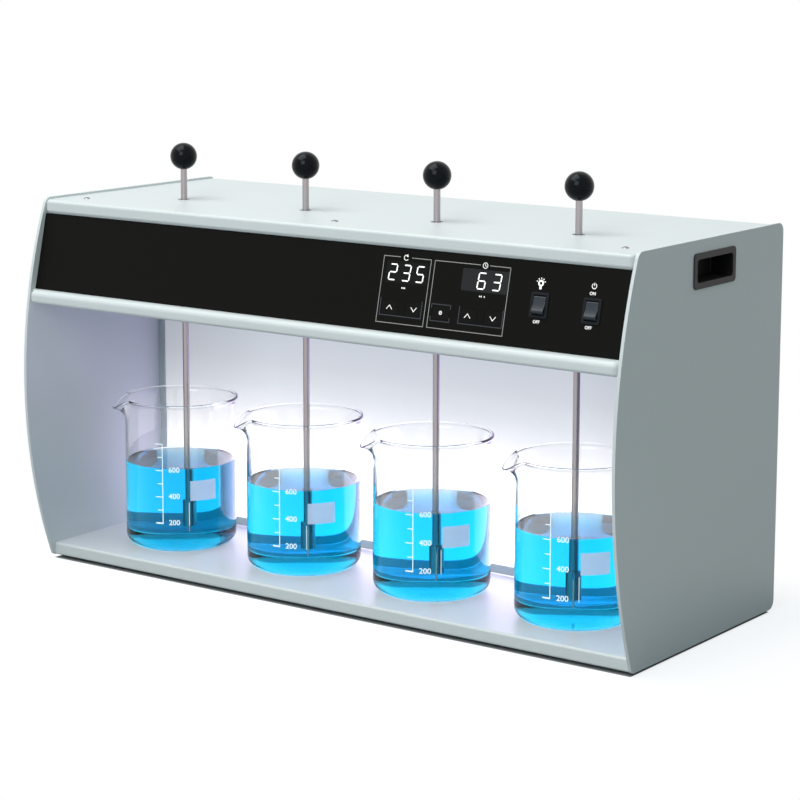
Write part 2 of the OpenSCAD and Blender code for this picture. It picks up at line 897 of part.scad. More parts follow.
module motor() {
    color(BLACK)
        translate([0, motor_y, beam_z + gearbox_h]) {
            cylinder(d = motor_d, h = motor_h - 3);
            translate([0, 0, motor_h - 3.1])
                cylinder(d = motor_d / 2.5, h = 3.1);
        }
}

// Belt stops are [x, y, r]; the belt runs anticlockwise round the outside of them
function run_normal(p, q) = let(
    d = [q[0] - p[0], q[1] - p[1]],
    lead = asin((p[2] - q[2]) / norm(d))
) turned(unit(d), lead - 90);
function next_of(stops, i) = stops[(i + 1) % len(stops)];
function run_start(stops, i, off) =
    [stops[i][0], stops[i][1]] + (stops[i][2] + off) * run_normal(stops[i], next_of(stops, i));
function run_end(stops, i, off) = let(q = next_of(stops, i))
    [q[0], q[1]] + (q[2] + off) * run_normal(stops[i], q);

// One face of a belt: an arc round each stop, from the run that comes in to the run that leaves
function belt_face(stops, off) = [for (i = [0 : len(stops) - 1]) let(
    stop = stops[i],
    before = stops[(i + len(stops) - 1) % len(stops)],
    a = heading(run_normal(before, stop)),
    sweep = (heading(run_normal(stop, next_of(stops, i))) - a + 360) % 360
) each arc([stop[0], stop[1]], stop[2] + off, a, a + sweep, TURN_STEPS)];

// Teeth stand on the straight runs only, so that the pulleys turn freely in the still belt
module belt_teeth(stops) {
    for (i = [0 : len(stops) - 1]) {
        a = run_start(stops, i, belt_gap);
        b = run_end(stops, i, belt_gap);
        n = floor(norm(b - a) / belt_pitch) - 3;
        for (k = [0 : n - 1])
            translate((a + b) / 2)
                rotate(heading(b - a))
                    translate([(k - (n - 1) / 2) * belt_pitch - belt_pitch / 4, -0.2])
                        square([belt_pitch / 2, tooth_h + 0.2]);
    }
}

module belt(stops, z) {
    translate([0, 0, z + (track_h - belt_w) / 2])
        linear_extrude(belt_w) {
            difference() {
                polygon(belt_face(stops, belt_gap + belt_t));
                polygon(belt_face(stops, belt_gap));
            }
            belt_teeth(stops);
        }
}

module drive_belts() {
    stop = [for (i = STATIONS) [shaft_x(i), shaft_y, spindle_r]];
    color(RUBBER) {
        belt([stop[0], stop[1]], upper_track_z);
        belt([stop[2], stop[3]], upper_track_z);
        belt([stop[1], stop[2], [0, motor_y, motor_r]], lower_track_z);
    }
}

// ---------- stirrers and beakers ----------

module rod(i) {
    color(STEEL)
        translate([shaft_x(i), shaft_y, paddle_z])
            cylinder(d = rod_d, h = rod_top - paddle_z);
}

module knob(i) {
    color(BLACK)
        translate([shaft_x(i), shaft_y, knob_z])
            difference() {
                sphere(d = knob_d, $fn = 64);
                translate([0, 0, -knob_d])
                    cylinder(d = rod_d, h = knob_d / 2 + knob_seat);
                translate([0, 0, -knob_d / 2 - 1])
                    cylinder(d = knob_d, h = 1.6);
            }
}

module paddle(i) {
    color(STEEL)
        translate([shaft_x(i), shaft_y, paddle_z])
            rotate(paddle_turn[i])
                difference() {
                    union() {
                        translate([-paddle_l / 2, -paddle_t / 2, 0])
                            cube([paddle_l, paddle_t, paddle_h]);
                        cylinder(d = hub_d, h = paddle_h);
                    }
                    translate([0, 0, -1])
                        cylinder(d = rod_d, h = paddle_h + 2);
                }
}

// Blown beaker: each ring of its skin is [radius, height]; near the rim a lobe of the wall
// swells out into the pouring spout
function heel(r, round, base, steps) = [for (k = [0 : steps])
    [r - round + round * sin(90 * k / steps), base + round - round * cos(90 * k / steps)]];
function beaker_rings() = let(
    r = beaker_d / 2,
    inner = r - glass_t,
    flare_z = beaker_h - 5
) concat(
    heel(r, heel_r, 0, 3),
    [[r, beaker_h - spout_h], [r, beaker_h - spout_h / 2], [r, flare_z]],
    [[r + rim_flare, beaker_h - 1.2], [r + rim_flare - 0.6, beaker_h]],
    [[inner + rim_flare, beaker_h - 0.8], [inner, flare_z]],
    [[inner, beaker_h - spout_h / 2], [inner, beaker_h - spout_h]],
    reversed(heel(inner, heel_r - glass_t, floor_t, 3))
);

// How far a point of the wall follows the spout's tip: out by the first, down by the second
function spout(a, z) = let(
    away = abs((a - spout_dir + 540) % 360 - 180),
    across = away < spout_half ? pow(cos(90 * away / spout_half), 2) : 0,
    up = min(max((z - beaker_h + spout_h) / spout_h, 0), 1)
) [spout_reach * across * pow(up, 3), spout_drop * across * up];

// Directions round the beaker: every 8 degrees, and every 3 degrees or so across the spout
function beaker_turns() = concat(
    [for (k = [0 : 15]) spout_dir - spout_half + k * spout_half / 8],
    [for (k = [0 : 37]) spout_dir + spout_half + k * (360 - 2 * spout_half) / 38]
);

module beaker_glass() {
    rings = beaker_rings();
    turns = beaker_turns();
    n = len(turns);
    m = len(rings);
    skin = [for (ring = rings, a = turns)
        let(lip = spout(a, ring[1]), r = ring[0] + lip[0])
            [r * cos(a), r * sin(a), ring[1] - lip[1]]];
    under = len(skin);
    above = under + 1;
    sides = [for (j = [0 : m - 2], k = [0 : n - 1]) let(next = (k + 1) % n) each [
        [j * n + k, (j + 1) * n + k, (j + 1) * n + next],
        [j * n + k, (j + 1) * n + next, j * n + next]
    ]];
    ends = [for (k = [0 : n - 1]) let(next = (k + 1) % n) each [
        [under, k, next],
        [above, (m - 1) * n + next, (m - 1) * n + k]
    ]];
    polyhedron(concat(skin, [[0, 0, 0], [0, 0, floor_t]]), concat(sides, ends));
}

module beaker(i) {
    color("lightcyan", 0.4)
        translate([shaft_x(i) + beaker_shift[i], shaft_y, tray_top])
            beaker_glass();
}

// ---------- controls ----------

module display(x, w) {
    color("#2b2b2e")
        on_fascia()
            fascia_block(x, window_s, w - 0.3, window_h - 0.3, 0.2, board_setback);
}

module key(x) {
    color(BLACK)
        on_fascia() {
            fascia_block(x, key_s, key_w - 2 * key_gap, key_h - 2 * key_gap, 0, key_cap_t);
            translate([x, key_cap_t - 0.1, key_s])
                rotate([-90, 0, 0])
                    cylinder(d = stem_d, h = tact_y - key_travel - 0.1 - key_cap_t + 0.1, $fn = 24);
        }
}

// Board with its push contacts and the pillars that hold it off the fascia
module control_board() {
    x0 = speed_x - speed_window_w / 2 - board_margin;
    x1 = time_x + time_window_w / 2 + board_margin;
    color("#2f5d3a")
        on_fascia() {
            translate([x0, board_setback, board_s])
                cube([x1 - x0, board_t, fascia_h - 2 * board_s]);
            for (x = KEY_X)
                translate([x - tact_w / 2, tact_y, key_s - tact_w / 2])
                    cube([tact_w, tact_h + 0.1, tact_w]);
            for (x = [x0 + pillar_d, set_x, x1 - pillar_d], s = [pillar_s, fascia_h - pillar_s])
                translate([x, fascia_t, s])
                    rotate([-90, 0, 0])
                        cylinder(d = pillar_d, h = board_setback - fascia_t + 0.1, $fn = 24);
        }
}

module switch_body(x) {
    color(BLACK)
        on_fascia()
            difference() {
                union() {
                    fascia_block(x, switch_s, bezel_w, bezel_h, -bezel_t, 0, 1.2);
                    fascia_block(x, switch_s, switch_hole_w - 0.2, switch_hole_h - 0.2, -0.1, switch_depth);
                }
                translate([x - rocker_w / 2 - 0.15, -bezel_t - 1, switch_s - rocker_slot_h / 2])
                    cube([rocker_w + 0.3, bezel_t + 1 + pivot_y + rocker_r, rocker_slot_h]);
            }
}

// Rocker with two faces that meet in a shallow V, shown with its upper end pressed
module rocker(x) {
    lean = (rocker_r + 1) * tan(rocker_tilt);
    face_y = pivot_y + rocker_face;
    color("#2a3038")
        on_fascia()
            translate([x, pivot_y, switch_s])
                rotate([-rocker_tilt, 0, 0])
                    along_x(rocker_w)
                        intersection() {
                            circle(rocker_r);
                            polygon([
                                [-face_y, 0], [-face_y - lean, rocker_r + 1],
                                [3, rocker_r + 1], [3, -rocker_r - 1],
                                [-face_y - lean, -rocker_r - 1]
                            ]);
                        }
}

// ---------- rear ----------

module power_supply() {
    color(ALLOY)
        difference() {
            translate([supply_x - supply_w / 2, supply_y, tray_top])
                cube([supply_w, supply_d, supply_h]);
            for (k = [-4 : 4])
                translate([supply_x + k * supply_w / 11 - 2, supply_y - 1, tray_top + supply_h / 4])
                    cube([4, 3, supply_h / 2]);
        }
}

// Flanged inlet with three flat pins in a socket open to the rear
module mains_inlet() {
    cavity = [24.5, 16.5];
    depth = 17;
    color(BLACK)
        translate([inlet_x, rear_y, inlet_z])
            rotate([-90, 0, 0]) {
                difference() {
                    union() {
                        linear_extrude(1.8)
                            rounded(inlet_flange[0], inlet_flange[1], 4);
                        translate([0, 0, -inlet_depth])
                            linear_extrude(inlet_depth + 0.1)
                                square(inlet_body, center = true);
                    }
                    translate([0, 0, 1.8 - depth])
                        linear_extrude(depth + 1)
                            polygon([
                                [-cavity[0] / 2, cavity[1] / 2], [cavity[0] / 2, cavity[1] / 2],
                                [cavity[0] / 2, -cavity[1] / 2 + 4], [cavity[0] / 2 - 4, -cavity[1] / 2],
                                [-cavity[0] / 2 + 4, -cavity[1] / 2], [-cavity[0] / 2, -cavity[1] / 2 + 4]
                            ]);
                }
                for (p = [[-7, 1.5], [0, -2.5], [7, 1.5]])
                    translate([p[0] - 1, p[1] - 2, 1.7 - depth])
                        cube([2, 4, depth - 4]);
            }
}

side_plate(-1);  // side_plate_left
side_plate(1);  // side_plate_right
handle(-1);  // handle_left
handle(1);  // handle_right
top_cover();
head_floor();
fascia_panel();
base_tray();
feet();
rear_panel();
light_frame();
diffuser();
light_box();
led_strips();
panel_screws();
drive_beam();
bearing_housings();
spindle_bushes();
drive_belts();
motor();
gearbox();
motor_pulley();
control_board();
display(speed_x, speed_window_w);  // speed_display
display(time_x, time_window_w);  // time_display
key(KEY_X[0]);  // key_speed_up
key(KEY_X[1]);  // key_speed_down
key(KEY_X[2]);  // key_time_up
key(KEY_X[3]);  // key_time_down
key(KEY_X[4]);  // key_set
switch_body(light_switch_x);  // light_switch
rocker(light_switch_x);  // light_rocker
switch_body(power_switch_x);  // power_switch
rocker(power_switch_x);  // power_rocker
power_supply();
mains_inlet();
spindle(0);  // spindle_1
spindle(1);  // spindle_2
spindle(2);  // spindle_3
spindle(3);  // spindle_4
pulley(0);  // pulley_1
pulley(1);  // pulley_2
pulley(2);  // pulley_3
pulley(3);  // pulley_4
rod(0);  // rod_1
rod(1);  // rod_2
rod(2);  // rod_3
rod(3);  // rod_4
knob(0);  // knob_1
knob(1);  // knob_2
knob(2);  // knob_3
knob(3);  // knob_4
paddle(0);  // paddle_1
paddle(1);  // paddle_2
paddle(2);  // paddle_3
paddle(3);  // paddle_4
beaker(0);  // beaker_1
beaker(1);  // beaker_2
beaker(2);  // beaker_3
beaker(3);  // beaker_4
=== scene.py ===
import json
from math import ceil, cos, hypot, pi, radians, sin

import bmesh
import bpy
from mathutils import Matrix, Vector


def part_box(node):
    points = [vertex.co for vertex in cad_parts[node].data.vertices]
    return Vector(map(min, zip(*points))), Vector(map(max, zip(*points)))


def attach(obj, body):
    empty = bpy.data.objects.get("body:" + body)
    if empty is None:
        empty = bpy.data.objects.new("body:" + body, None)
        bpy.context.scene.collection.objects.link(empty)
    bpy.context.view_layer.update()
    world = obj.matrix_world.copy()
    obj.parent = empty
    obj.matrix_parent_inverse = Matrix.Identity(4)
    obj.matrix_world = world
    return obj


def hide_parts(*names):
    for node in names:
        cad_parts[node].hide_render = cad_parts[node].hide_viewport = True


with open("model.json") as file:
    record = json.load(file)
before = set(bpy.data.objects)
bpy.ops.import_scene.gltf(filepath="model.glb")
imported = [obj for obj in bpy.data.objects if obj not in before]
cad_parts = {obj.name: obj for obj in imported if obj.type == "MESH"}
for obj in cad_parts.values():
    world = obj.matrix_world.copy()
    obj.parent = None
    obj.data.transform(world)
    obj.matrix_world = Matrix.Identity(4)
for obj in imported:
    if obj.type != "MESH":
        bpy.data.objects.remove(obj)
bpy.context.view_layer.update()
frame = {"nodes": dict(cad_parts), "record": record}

scene = bpy.context.scene

# ---------- Studio ----------
# A white floor that runs out of sight, one large soft lamp high over the front left, a weaker one
# from the front, and the camera at the photograph's place, with its lens and its shift.
CAMERA_PLACE = (1.3061, -1.7746, 0.6056)
CAMERA_TURN, CAMERA_DIP, CAMERA_ROLL = radians(36.08), radians(9.22), radians(0.12)
FOCAL_PIXELS, FRAME_PIXELS = 2477.4, 800

scene.view_settings.view_transform = "Standard"
camera = bpy.data.cameras.new("camera")
camera.sensor_width = 36
camera.lens = camera.sensor_width * FOCAL_PIXELS / FRAME_PIXELS
camera.shift_y = -0.1
camera.clip_end = 100
scene.camera = bpy.data.objects.new("camera", camera)
scene.collection.objects.link(scene.camera)
scene.camera.matrix_world = (
    Matrix.Translation(CAMERA_PLACE) @ Matrix.Rotation(CAMERA_TURN, 4, "Z")
    @ Matrix.Rotation(pi / 2 - CAMERA_DIP, 4, "X") @ Matrix.Rotation(CAMERA_ROLL, 4, "Z")
)


def soft_lamp(name, place, aim, size, watts):
    """A square lamp that looks at a point."""
    lamp = bpy.data.lights.new(name, "AREA")
    lamp.shape = "SQUARE"
    lamp.size = size
    lamp.energy = watts
    holder = bpy.data.objects.new(name, lamp)
    scene.collection.objects.link(holder)
    holder.location = place
    holder.rotation_euler = (Vector(aim) - Vector(place)).to_track_quat("-Z", "Y").to_euler()


MIDDLE = (0, 0, 0.2)
soft_lamp("key_lamp", (-0.75, -0.95, 3.0), MIDDLE, 2.4, 72)
soft_lamp("fill_lamp", (0.5, -2.4, 1.7), MIDDLE, 1.4, 28)


def put(tree, value, socket):
    """Links a socket to an input, or sets a fixed value on it."""
    if isinstance(value, bpy.types.NodeSocket):
        tree.links.new(value, socket)
    else:
        socket.default_value = value


def linked(tree, kind, **values):
    """A node of a tree. A value sets an input of that name, or a setting, or links a socket."""
    node = tree.nodes.new(kind)
    for name, value in values.items():
        label = name.replace("_", " ")
        socket = next((s for s in node.inputs if s.name.lower() == label and s.enabled), None)
        if socket is None:
            setattr(node, name, value)
        else:
            put(tree, value, socket)
    return node


def worked(tree, kind, operation, *values):
    """What a Math or VectorMath node makes of sockets or fixed values."""
    node = tree.nodes.new("ShaderNode" + kind)
    node.operation = operation
    for value, socket in zip(values, node.inputs):
        put(tree, value, socket)
    return node.outputs["Value" if operation == "LENGTH" else 0]


def mixed(tree, factor, first, second, blend="MIX"):
    """A colour between two, each a socket or a fixed colour."""
    node = tree.nodes.new("ShaderNodeMix")
    node.data_type = "RGBA"
    node.blend_type = blend
    for value, socket in ((factor, "Factor"), (first, 6), (second, 7)):
        put(tree, value, node.inputs[socket])
    return node.outputs[2]


def blended(tree, factor, first, second):
    """The second shader where the factor is 1, and the first where it is 0."""
    node = linked(tree, "ShaderNodeMixShader", fac=factor)
    tree.links.new(first.outputs[0], node.inputs[1])
    tree.links.new(second.outputs[0], node.inputs[2])
    return node


def seen_plainly(tree, *more):
    """1 for a ray seen straight, through glass or by the further kinds, 0 for one that lights."""
    light = linked(tree, "ShaderNodeLightPath")
    seen = light.outputs["Is Camera Ray"]
    for kind in ("Is Transmission Ray", *more):
        seen = worked(tree, "Math", "MAXIMUM", seen, light.outputs[kind])
    return seen


world = bpy.data.worlds.new("studio")
scene.world = world
world.use_nodes = True
tree = world.node_tree
tree.nodes.clear()
ambient = linked(tree, "ShaderNodeBackground", color=(0.83, 0.98, 1.0, 1), strength=0.32)
white = linked(tree, "ShaderNodeBackground", color=(1, 1, 1, 1), strength=1)
backdrop = blended(tree, seen_plainly(tree, "Is Glossy Ray"), ambient, white)
linked(tree, "ShaderNodeOutputWorld", surface=backdrop.outputs[0])

# The floor's own brightness stops under the tray, so that the gap below it stays dark. Between
# the next two distances from the tray it fades from a floor with a shadow to plain white.
GAP_FADE, SHADOW_REACH, WHITE_REACH = 0.0012, 0.03, 0.12
FLOOR_SPAN = 60
bpy.ops.mesh.primitive_plane_add(size=FLOOR_SPAN)
floor = bpy.context.object
floor.name = "floor"
floor.data.materials.append(bpy.data.materials.new("floor_white"))
floor.active_material.use_nodes = True
tree = floor.active_material.node_tree
tree.nodes.clear()
low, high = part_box("base_tray")
middle = (0, (low.y + high.y) / 2, 0)
half = (high.x, (high.y - low.y) / 2, 1)
where = linked(tree, "ShaderNodeTexCoord").outputs["Object"]
centred = worked(tree, "VectorMath", "SUBTRACT", where, middle)
aside = worked(tree, "VectorMath", "ABSOLUTE", centred)
past_edges = worked(tree, "VectorMath", "SUBTRACT", aside, half)
beyond = worked(tree, "VectorMath", "MAXIMUM", past_edges, (0, 0, 0))
reach = worked(tree, "VectorMath", "LENGTH", beyond)
opening = linked(
    tree, "ShaderNodeMapRange", value=reach, from_min=0, from_max=GAP_FADE, to_max=0.8)
shown = seen_plainly(tree)
bright = worked(tree, "Math", "MULTIPLY", shown, opening.outputs[0])
tone = mixed(tree, shown, (0.30, 0.33, 0.34, 1), (0.28, 0.29, 0.30, 1))
soft = linked(tree, "ShaderNodeBsdfDiffuse", color=tone)
glow = linked(tree, "ShaderNodeEmission", color=(0.97, 0.99, 1, 1), strength=bright)
near = tree.nodes.new("ShaderNodeAddShader")
tree.links.new(soft.outputs[0], near.inputs[0])
tree.links.new(glow.outputs[0], near.inputs[1])
fade = linked(tree, "ShaderNodeMapRange", value=reach, from_min=SHADOW_REACH, from_max=WHITE_REACH)
faded = worked(tree, "Math", "MULTIPLY", fade.outputs[0], seen_plainly(tree, "Is Glossy Ray"))
far = linked(tree, "ShaderNodeEmission", color=(1, 1, 1, 1), strength=1)
linked(tree, "ShaderNodeOutputMaterial", surface=blended(tree, faded, near, far).outputs[0])

# ---------- Folded sheet panels and side plates ----------
# The cabinet is folded from 1.5 mm sheet between two 3 mm side plates, all with a pale
# grey-green powder coat: a fine orange peel, and edges that the coat rounds off.
SLOTS = {s["node"]: s["material_slot"] for s in frame["record"]["subparts"]}
BODIES = {n: b for b, nodes in frame["record"]["behaviour"]["bodies"].items() for n in nodes}
SMOOTH_BELOW = radians(32)

grain = bpy.data.node_groups.new("surface_grain", "ShaderNodeTree")
for name, kind in (
    ("Color", "Color"), ("Mottle", "Float"), ("Roughness", "Float"), ("Spread", "Float"),
    ("Scale", "Float"), ("Stretch", "Vector"),
):
    grain.interface.new_socket(name=name, in_out="INPUT", socket_type="NodeSocket" + kind)
for name, kind in (("Color", "Color"), ("Roughness", "Float"), ("Height", "Float")):
    grain.interface.new_socket(name=name, in_out="OUTPUT", socket_type="NodeSocket" + kind)
given = grain.nodes.new("NodeGroupInput").outputs
where = linked(grain, "ShaderNodeTexCoord").outputs["Object"]
pulled = worked(grain, "VectorMath", "MULTIPLY", where, given["Stretch"])
fine = linked(
    grain, "ShaderNodeTexNoise", vector=pulled, scale=given["Scale"], detail=3.0).outputs[0]
broad = linked(grain, "ShaderNodeTexNoise", vector=where, scale=9.0, detail=2.0).outputs[0]
patch = worked(grain, "Math", "MULTIPLY", broad, given["Mottle"])
toned = mixed(grain, patch, given["Color"], (0.82, 0.83, 0.85, 1), "MULTIPLY")
uneven = worked(grain, "Math", "MULTIPLY_ADD", fine, given["Spread"], given["Roughness"])
grain_out = grain.nodes.new("NodeGroupOutput")
for source, name in ((toned, "Color"), (uneven, "Roughness"), (fine, "Height")):
    grain.links.new(source, grain_out.inputs[name])


def finish(
    name, colour, roughness, scale, relief, mottle=0.3, spread=0.08, stretch=(1, 1, 1), **sockets
):
    """A material with its own grain: scale in cells a metre, relief in metres."""
    material = bpy.data.materials.new(name)
    material.use_nodes = True
    tree = material.node_tree
    shader = tree.nodes["Principled BSDF"]
    surface = tree.nodes.new("ShaderNodeGroup")
    surface.node_tree = grain
    for label, value in (
        ("Color", (*colour, 1)), ("Mottle", mottle), ("Roughness", roughness - spread / 2),
        ("Spread", spread), ("Scale", scale), ("Stretch", stretch),
    ):
        surface.inputs[label].default_value = value
    tree.links.new(surface.outputs["Color"], shader.inputs["Base Color"])
    tree.links.new(surface.outputs["Roughness"], shader.inputs["Roughness"])
    bump = linked(tree, "ShaderNodeBump", height=surface.outputs["Height"], distance=relief)
    tree.links.new(bump.outputs[0], shader.inputs["Normal"])
    for label, value in sockets.items():
        shader.inputs[label.replace("_", " ")].default_value = value
    return material


def place_piece(name, mesh, body, slot, material, *nodes):
    """A finished mesh as a piece that rides on a body, in place of the nodes that it stands for."""
    piece = bpy.data.objects.new(name, mesh)
    scene.collection.objects.link(piece)
    mesh.materials.clear()
    mesh.materials.append(material)
    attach(piece, body)
    if nodes:
        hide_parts(*nodes)
    return piece


def eased(node, width, material, steps=2):
    """A node's own form with its sharp edges rounded by the given width."""
    mesh = frame["nodes"][node].data.copy()
    form = bmesh.new()
    form.from_mesh(mesh)
    bmesh.ops.remove_doubles(form, verts=form.verts, dist=1e-6)
    bmesh.ops.dissolve_limit(form, angle_limit=radians(0.2), verts=form.verts, edges=form.edges)
    form.to_mesh(mesh)
    form.free()
    mesh.shade_smooth()
    piece = place_piece(node + "_finished", mesh, BODIES[node], SLOTS[node], material, node)
    bevel = piece.modifiers.new("eased_edges", "BEVEL")
    bevel.width = width
    bevel.segments = steps
    bevel.limit_method = "ANGLE"
    bevel.angle_limit = SMOOTH_BELOW
    flat = piece.modifiers.new("flat_faces", "WEIGHTED_NORMAL")
    flat.weight = 100


def dress(node, material):
    """A CAD node kept as it is, in a new finish."""
    mesh = frame["nodes"][node].data
    mesh.materials.clear()
    mesh.materials.append(material)


paint = finish(
    "powder_coat", (0.66, 0.71, 0.715), 0.42, 900, 0.000012, mottle=0.12, spread=0.06)
for node, width in (
    ("side_plate_left", 0.0007), ("side_plate_right", 0.0007), ("top_cover", 0.0004),
    ("head_floor", 0.0004), ("base_tray", 0.0004), ("rear_panel", 0.0003),
):
    eased(node, width, paint)

# ---------- Recessed handles and feet ----------
# Black moulded pockets are pressed into the side plates from outside, their flange lapping the
# plate. Four turned rubber feet are screwed up under the tray.
moulding = finish(
    "black_moulding", (0.008, 0.008, 0.009), 0.45, 1400, 0.00002, spread=0.12,
    Specular_IOR_Level=0.25)
for node in ("handle_left", "handle_right"):
    eased(node, 0.0005, moulding)
rubber = finish("foot_rubber", (0.02, 0.02, 0.021), 0.75, 700, 0.00003, spread=0.1)
dress("feet", rubber)

# ---------- Backlight ----------
# An opal acrylic sheet lies behind a thin grey frame; the white light box behind it holds
# strips of light-emitting diodes, so the sheet glows evenly and dims a little under the head.
frame_grey = finish("frame_grey", (0.47, 0.53, 0.55), 0.5, 900, 0.00001)
eased("light_frame", 0.0003, frame_grey)
# Height up the sheet, as a share, with the colour that shows there
GLOW_LEVELS = (
    (0.0, (1.6, 1.6, 1.62)), (0.3, (1.45, 1.45, 1.47)), (0.42, (0.97, 0.97, 0.99)),
    (0.51, (0.76, 0.765, 0.79)), (0.61, (0.61, 0.63, 0.66)), (0.72, (0.50, 0.52, 0.555)),
    (1.0, (0.38, 0.405, 0.45)),
)
END_DIMMING, END_REACH = 0.33, 0.14
# The light that it throws on the bay: its cast, and how much steeper it falls upwards and sideways
BLUE_CAST, LIGHT_FALL, LIGHT_ENDS = (1.72, 1.46, 2.15), 1.15, 3.5
opal = finish("opal_acrylic", (0.35, 0.36, 0.38), 0.35, 1500, 0.000004)
tree = opal.node_tree
low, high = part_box("diffuser")
where = linked(tree, "ShaderNodeTexCoord").outputs["Object"]
place = linked(tree, "ShaderNodeSeparateXYZ", vector=where)
height = linked(
    tree, "ShaderNodeMapRange", value=place.outputs[2], from_min=low.z, from_max=high.z)
ramp = linked(tree, "ShaderNodeValToRGB", fac=height.outputs[0])
for k, (stop, colour) in enumerate(GLOW_LEVELS):
    element = ramp.color_ramp.elements[k] if k < 2 else ramp.color_ramp.elements.new(stop)
    element.position = stop
    element.color = (*colour, 1)
ends = linked(
    tree, "ShaderNodeMapRange", value=worked(tree, "Math", "ABSOLUTE", place.outputs[0]),
    from_min=high.x - END_REACH, from_max=high.x, to_min=1, to_max=1 - END_DIMMING)
shown = seen_plainly(tree)
cast = mixed(tree, shown, (*BLUE_CAST, 1), (1, 1, 1, 1))
steeper = linked(tree, "ShaderNodeMapRange", value=shown, to_min=LIGHT_FALL, to_max=1)
fall = linked(tree, "ShaderNodeGamma", color=ramp.outputs[0], gamma=steeper.outputs[0])
dimmer = linked(tree, "ShaderNodeMapRange", value=shown, to_min=LIGHT_ENDS, to_max=1)
strength = worked(tree, "Math", "POWER", ends.outputs[0], dimmer.outputs[0])
shader = tree.nodes["Principled BSDF"]
tree.links.new(
    mixed(tree, 1, fall.outputs[0], cast, "MULTIPLY"), shader.inputs["Emission Color"])
tree.links.new(strength, shader.inputs["Emission Strength"])
dress("diffuser", opal)
dress("light_box", finish("lamp_white", (0.85, 0.85, 0.84), 0.6, 800, 0.00001))
dress("led_strips", finish("strip_board", (0.8, 0.8, 0.72), 0.5, 1200, 0.00001))

# ---------- Drive ----------
# A machined beam spans the head and carries four bearing housings with sintered bushes; one
# geared motor turns the spindles by three toothed rubber belts.
machined = finish(
    "machined_alloy", (0.55, 0.56, 0.58), 0.34, 2200, 0.000004, stretch=(1, 1, 0.05), Metallic=1.0)
# This zinc is made much darker than bright zinc: painted shade, standing for the shade in the screw
# heads' recesses.
zinc_painted_dark = finish("zinc_with_painted_shade", (0.30, 0.30, 0.31), 0.34, 1500, 0.000004, Metallic=1.0)
bronze = finish("sintered_bronze", (0.42, 0.25, 0.10), 0.5, 2600, 0.00001, Metallic=1.0)
belt_rubber = finish("belt_rubber", (0.017, 0.017, 0.018), 0.7, 1800, 0.00001)
for node in ("drive_beam", "bearing_housings", "motor_pulley", "power_supply"):
    dress(node, machined)
dress("gearbox", zinc_painted_dark)
dress("spindle_bushes", bronze)
dress("drive_belts", belt_rubber)
dress("motor", moulding)
dress("control_board", finish("solder_mask", (0.02, 0.10, 0.04), 0.35, 900, 0.00002))

# ---------- Fascia ----------
# A black anodised sheet leaning back over the rail, with two display windows, five keys and two
# rocker switches. Its marks are screen-printed in white, grey and a very dark blue.
fascia_black = finish(
    "fascia_black", (0.0068, 0.0068, 0.0060), 0.5, 2400, 0.000006, mottle=0.1,
    Specular_IOR_Level=0.04)
key_black = finish(
    "key_black", (0.0068, 0.0068, 0.0062), 0.48, 2400, 0.000006, mottle=0.1,
    Specular_IOR_Level=0.05)
eased("fascia_panel", 0.0003, fascia_black)
KEYS = ("key_speed_up", "key_speed_down", "key_time_up", "key_time_down", "key_set")
for node in KEYS:
    eased(node, 0.00025, key_black)

# Lower front edge of the panel's face, and its lean
low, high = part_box("fascia_panel")
LEAN, SHEET = radians(13), 0.002
FASCIA_FOOT = Vector((0, low.y, low.z + SHEET * sin(LEAN)))
UP_FACE = Vector((0, sin(LEAN), cos(LEAN)))
OUT_OF_FACE = Vector((0, -cos(LEAN), sin(LEAN)))


def on_fascia(x, s, out):
    """A point of the fascia: x along it, s up it and out of it, in metres."""
    return FASCIA_FOOT + Vector((x, 0, 0)) + s * UP_FACE + out * OUT_OF_FACE


SHARPEST_MITRE = 0.4


def stroke(points, width, closed=False):
    """Quads of a pen line of even width through 2D points, mitred at its corners."""
    points = [Vector(p) for p in points]
    count = len(points)
    rails = []
    for k, p in enumerate(points):
        before = points[k - 1] if k or closed else None
        after = points[(k + 1) % count] if k < count - 1 or closed else None
        into = (p - before).normalized() if before is not None else (after - p).normalized()
        out_of = (after - p).normalized() if after is not None else into
        along = (into + out_of).normalized()
        side = Vector((-along.y, along.x)) * width / 2 / max(along.dot(into), SHARPEST_MITRE)
        rails.append((p + side, p - side))
    spans = count if closed else count - 1
    return [
        (rails[k][0], rails[k][1], rails[(k + 1) % count][1], rails[(k + 1) % count][0])
        for k in range(spans)
    ]


def rectangle(x0, s0, x1, s1):
    """Corners of an upright rectangle, lower left and upper right given."""
    return [(x0, s0), (x1, s0), (x1, s1), (x0, s1)]


def ring(x, s, radius, start=0, sweep=360, steps=20):
    """Points of a circle about x, s, or of an arc of it in degrees."""
    return [
        (x + radius * cos(radians(start + sweep * k / steps)),
         s + radius * sin(radians(start + sweep * k / steps)))
        for k in range(steps if sweep == 360 else steps + 1)
    ]


def printed(name, faces, spot, body, slot, material, lift, thickness=0.00006):
    """Flat faces given in millimetres, laid by spot(u, v, out) as a thin closed film of ink."""
    form = bmesh.new()
    for face in faces:
        corners = [
            [form.verts.new(spot(p[0] / 1000, p[1] / 1000, out)) for p in face]
            for out in (lift, lift + thickness)
        ]
        form.faces.new(corners[0])
        form.faces.new(corners[1][::-1])
        for k in range(len(face)):
            n = (k + 1) % len(face)
            form.faces.new((corners[0][n], corners[0][k], corners[1][k], corners[1][n]))
    bmesh.ops.recalc_face_normals(form, faces=form.faces)
    mesh = bpy.data.meshes.new(name)
    form.to_mesh(mesh)
    form.free()
    place_piece(name, mesh, body, slot, material)


